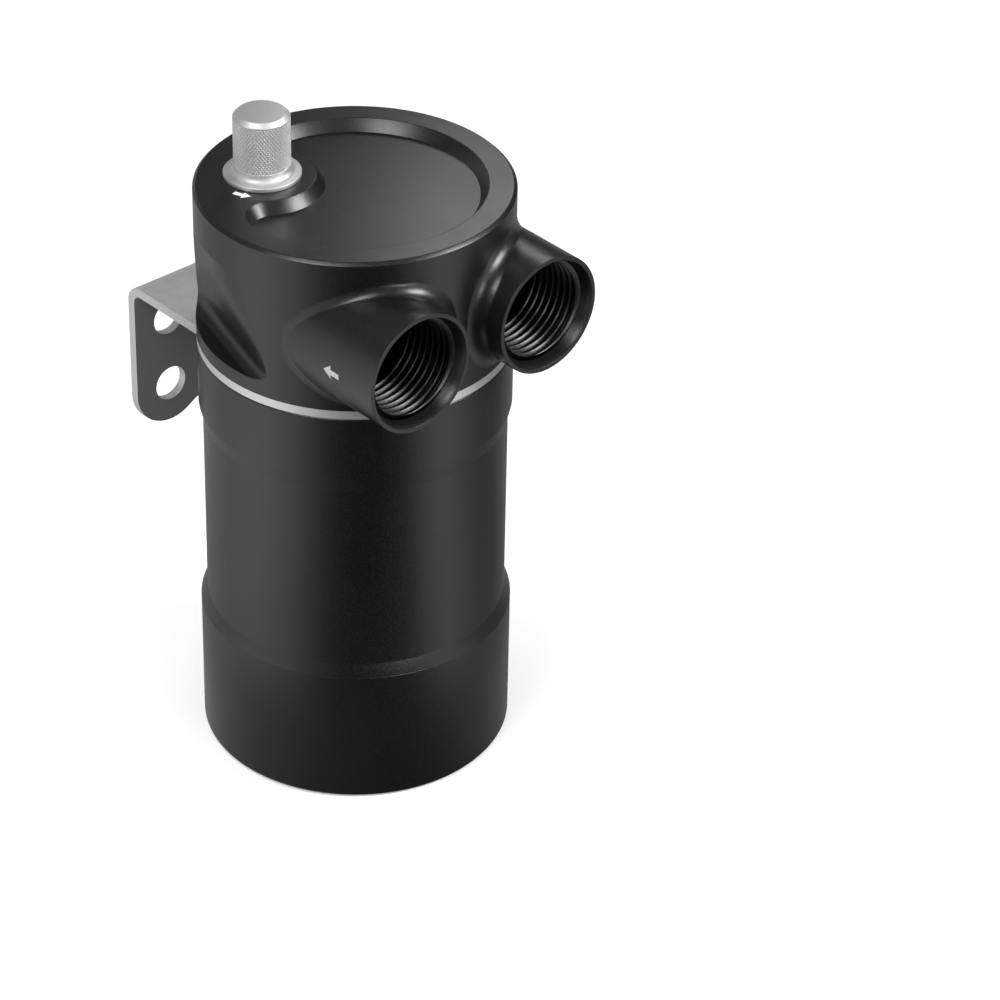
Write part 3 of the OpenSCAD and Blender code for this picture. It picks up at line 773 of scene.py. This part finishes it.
def seen_in_mirror(tree, paths, cards, plain):
    """The background's cards to glossy and transmission rays, one plain level to diffuse rays."""
    glossy = paths.outputs["Is Glossy Ray"]
    mirror = math_node(tree, "MAXIMUM", glossy, paths.outputs["Is Transmission Ray"])
    level = tree.nodes.new("ShaderNodeRGB")
    level.outputs[0].default_value = (plain, plain, plain, 1)
    return blend_values(tree, mirror, level.outputs[0], cards)


def studio_world():
    """White to the camera; the cards by height to mirrors."""
    world = bpy.data.worlds.new("studio")
    bpy.context.scene.world = world
    world.use_nodes = True
    t = world.node_tree
    t.nodes.clear()
    out = t.nodes.new("ShaderNodeOutputWorld")
    mix = t.nodes.new("ShaderNodeMixShader")
    soft = t.nodes.new("ShaderNodeBackground")
    white = t.nodes.new("ShaderNodeBackground")
    white.inputs[0].default_value = (1, 1, 1, 1)
    lp = t.nodes.new("ShaderNodeLightPath")
    tc = t.nodes.new("ShaderNodeTexCoord")
    turn, parts = turn_of(t, tc.outputs["Generated"])
    low = card_ramp(t, turn, LOW_CARDS)
    high = gray_ramp(t, parts[2], HIGH_CARDS)
    cards = blend_values(t, ramp(t, parts[2], LOW_SINE, HIGH_SINE, 0.0, 1.0), low, high)
    t.links.new(seen_in_mirror(t, lp, cards, WORLD_LEVEL), soft.inputs[0])
    t.links.new(lp.outputs["Is Camera Ray"], mix.inputs[0])
    t.links.new(soft.outputs[0], mix.inputs[1])
    t.links.new(white.outputs[0], mix.inputs[2])
    t.links.new(mix.outputs[0], out.inputs[0])


def floor_material():
    """White to the camera with the object's shadow, the cards to mirrors, clear from below."""
    m = bpy.data.materials.new("stage_white")
    m.use_nodes = True
    t = m.node_tree
    t.nodes.clear()
    out = t.nodes.new("ShaderNodeOutputMaterial")
    lit = t.nodes.new("ShaderNodeAddShader")
    paint = t.nodes.new("ShaderNodeBsdfDiffuse")
    paint.inputs[0].default_value = (0.8, 0.8, 0.8, 1)
    glow = t.nodes.new("ShaderNodeEmission")
    cards = t.nodes.new("ShaderNodeEmission")
    lp = t.nodes.new("ShaderNodeLightPath")
    geo = t.nodes.new("ShaderNodeNewGeometry")
    turn, parts = turn_of(t, geo.outputs["Position"])
    x_squared = math_node(t, "MULTIPLY", parts[0], parts[0])
    y_squared = math_node(t, "MULTIPLY", parts[1], parts[1])
    radius = math_node(t, "SQRT", math_node(t, "ADD", x_squared, y_squared))
    near = card_ramp(t, turn, NEAR_CARDS)
    far = card_ramp(t, turn, FAR_CARDS)
    lying = blend_values(t, ramp(t, radius, NEAR_R, FAR_R, 0.0, 1.0), near, far)
    t.links.new(seen_in_mirror(t, lp, lying, FLOOR_LEVEL), cards.inputs[0])
    t.links.new(ramp(t, radius, GLOW_R0, GLOW_R1, NEAR_GLOW, FAR_GLOW), glow.inputs[1])
    t.links.new(paint.outputs[0], lit.inputs[0])
    t.links.new(glow.outputs[0], lit.inputs[1])
    from_above = t.nodes.new("ShaderNodeMixShader")
    t.links.new(lp.outputs["Is Camera Ray"], from_above.inputs[0])
    t.links.new(cards.outputs[0], from_above.inputs[1])
    t.links.new(lit.outputs[0], from_above.inputs[2])
    clear = t.nodes.new("ShaderNodeBsdfTransparent")
    either = t.nodes.new("ShaderNodeMixShader")
    t.links.new(geo.outputs["Backfacing"], either.inputs[0])
    t.links.new(from_above.outputs[0], either.inputs[1])
    t.links.new(clear.outputs[0], either.inputs[2])
    t.links.new(either.outputs[0], out.inputs[0])
    return m


def studio_floor():
    bpy.ops.mesh.primitive_plane_add(size=FLOOR_SIZE, location=(0, 0, FLOOR_Z))
    floor = bpy.context.object
    floor.name = "stage_floor"
    floor.data.materials.append(floor_material())


def area_light(name, loc, target, size, power, in_mirror=True):
    """A lamp that faces a target: places, width and height in metres, power in watts."""
    d = bpy.data.lights.new(name, "AREA")
    d.shape = "RECTANGLE"
    d.size, d.size_y = size
    d.energy = power
    o = bpy.data.objects.new(name, d)
    bpy.context.scene.collection.objects.link(o)
    o.location = loc
    o.rotation_euler = (Vector(target) - Vector(loc)).to_track_quat("-Z", "Y").to_euler()
    o.visible_camera = False
    o.visible_glossy = in_mirror


def lamps():
    area_light("light_lid", (0.158, 0.118, 0.302), (0.02, -0.05, 0.16), (0.06, 0.06), 0.052)
    area_light("light_top", (-0.25, 0.15, 0.9), (0, 0, 0.05), (0.7, 0.7), 5.0, in_mirror=False)
    area_light("light_right", (0.30, -0.43, 0.50), (0, 0, 0.14), (0.25, 0.25), 3.6)
    area_light("light_left", (-0.37, -0.10, 0.56), (0, 0, 0.12), (0.25, 0.25), 1.4)
    area_light("light_threads", (-0.07, -0.55, 0.20), (0, -0.04, 0.135), (0.1, 0.08), 0.45)


# The camera that was fitted to the photo: its place in metres, its lens and sensor in
# millimetres, and the directions in which the picture's right and top lie
CAMERA_PLACE = (-0.54849, -0.64492, 0.63440)
CAMERA_RIGHT = Vector((0.740766, -0.671509, 0.018577))
CAMERA_UP = Vector((0.362912, 0.423308, 0.830130))
CAMERA_LENS = 141.69
CAMERA_SENSOR = 36.0


def camera():
    cam = bpy.data.cameras.new("photo_camera")
    cam.sensor_width = CAMERA_SENSOR
    cam.lens = CAMERA_LENS
    cam.clip_start = 0.01
    cam.clip_end = 20.0
    o = bpy.data.objects.new("photo_camera", cam)
    bpy.context.scene.collection.objects.link(o)
    turned = Matrix((CAMERA_RIGHT, CAMERA_UP, CAMERA_RIGHT.cross(CAMERA_UP))).transposed()
    o.matrix_world = Matrix.Translation(CAMERA_PLACE) @ turned.to_4x4()
    bpy.context.scene.camera = o


studio_world()
studio_floor()
lamps()
camera()
bpy.context.scene.view_settings.view_transform = "Standard"
